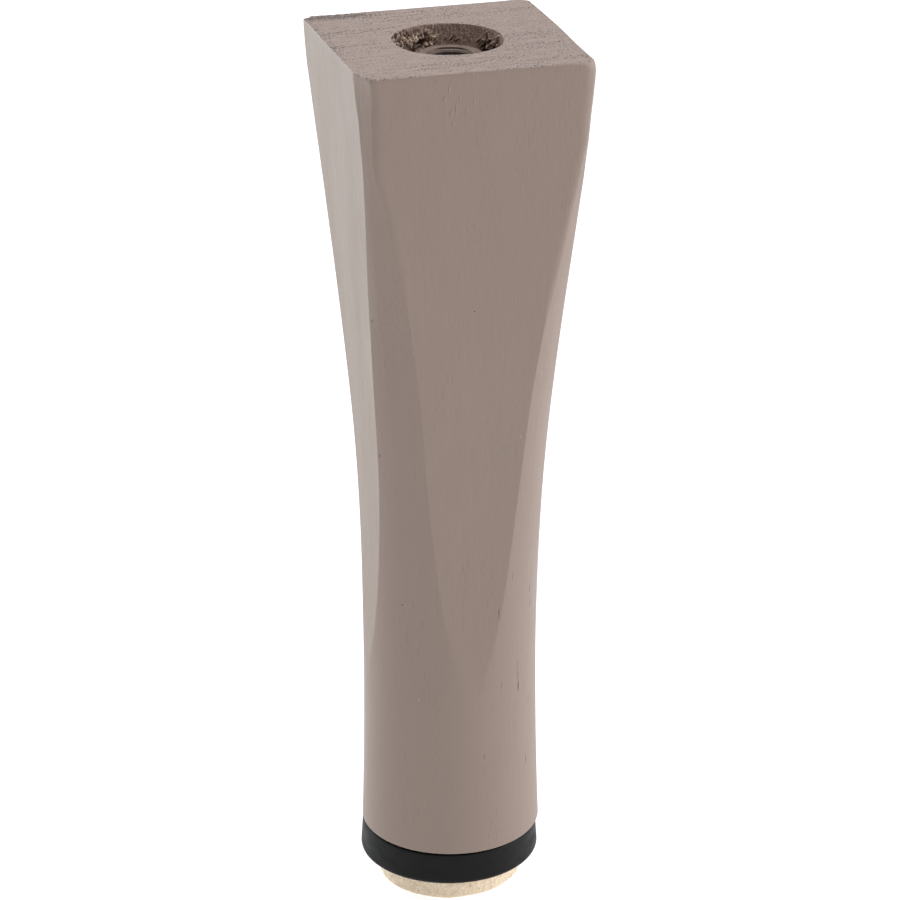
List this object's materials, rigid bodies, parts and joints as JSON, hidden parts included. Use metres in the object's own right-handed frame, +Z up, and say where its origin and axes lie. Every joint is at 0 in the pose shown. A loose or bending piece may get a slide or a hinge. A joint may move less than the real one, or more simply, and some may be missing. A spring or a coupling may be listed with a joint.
{
  "type": "furniture leg",
  "caption": "Painted wooden furniture leg, square at the top and turned to a round foot, with a threaded insert in a counterbore, a plastic floor glide and a felt disc.",
  "frame": {"origin": "centre of the square top, dropped to the floor under the felt disc", "axes": "+Z up along the leg, from the felt to the top face; the four flats face -Y, +X, +Y and -X"},
  "size_m": [0.0448, 0.0448, 0.175],
  "materials": {
    "painted_wood": "satin taupe paint over open-grained wood",
    "painted_steel": "steel insert covered by the same taupe paint",
    "black_plastic": "moulded black plastic, softly glossy",
    "cream_felt": "cream wool felt with a rough cut edge",
    "zinc_steel": "bright zinc plating"
  },
  "bodies": {
    "root": {"leg_body": "painted_wood", "threaded_insert": "painted_steel", "floor_glide": "black_plastic", "felt_disc": "cream_felt", "glide_screw": "zinc_steel"}
  },
  "joints": []
}
